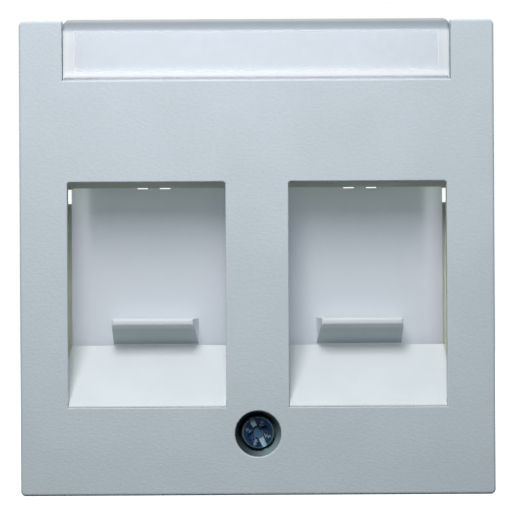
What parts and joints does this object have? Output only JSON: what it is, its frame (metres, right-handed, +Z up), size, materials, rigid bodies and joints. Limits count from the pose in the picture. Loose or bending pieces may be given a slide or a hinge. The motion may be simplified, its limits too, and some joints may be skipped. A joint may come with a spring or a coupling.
{
  "type": "wall plate",
  "caption": "Square wall plate insert for data ports, with sliding dust shutters over sloped sills, a clear label window along the top edge and a sunk fixing screw.",
  "frame": {"origin": "middle of the rear rim, in the plane where the plate meets the wall or its support frame", "axes": "+Z up, +X to the right seen from the front, +Y into the wall; the front face looks along -Y"},
  "size_m": [0.055, 0.0234, 0.0552],
  "materials": {
    "plate_paint": "fine-grained matte paint, pale blue-grey",
    "white_plastic": "smooth satin white",
    "shutter_plastic": "smooth satin white with a faint lilac cast",
    "clear_plastic": "clear and polished",
    "label_paper": "plain white paper",
    "plated_steel": "blue zinc plating"
  },
  "bodies": {
    "plate": {"face_plate": "plate_paint", "shutter_carrier": "white_plastic", "label_window": "clear_plastic", "label_strip": "label_paper", "fixing_screw": "plated_steel"},
    "left_shutter": {"left_shutter": "shutter_plastic"},
    "right_shutter": {"right_shutter": "shutter_plastic"}
  },
  "joints": [
    {"name": "left_shutter_slide", "type": "slide", "parent": "plate", "child": "left_shutter", "axis": [0, 0, 1], "range_m": [0, 0.0145]},
    {"name": "right_shutter_slide", "type": "slide", "parent": "plate", "child": "right_shutter", "axis": [0, 0, 1], "range_m": [0, 0.0145]}
  ]
}
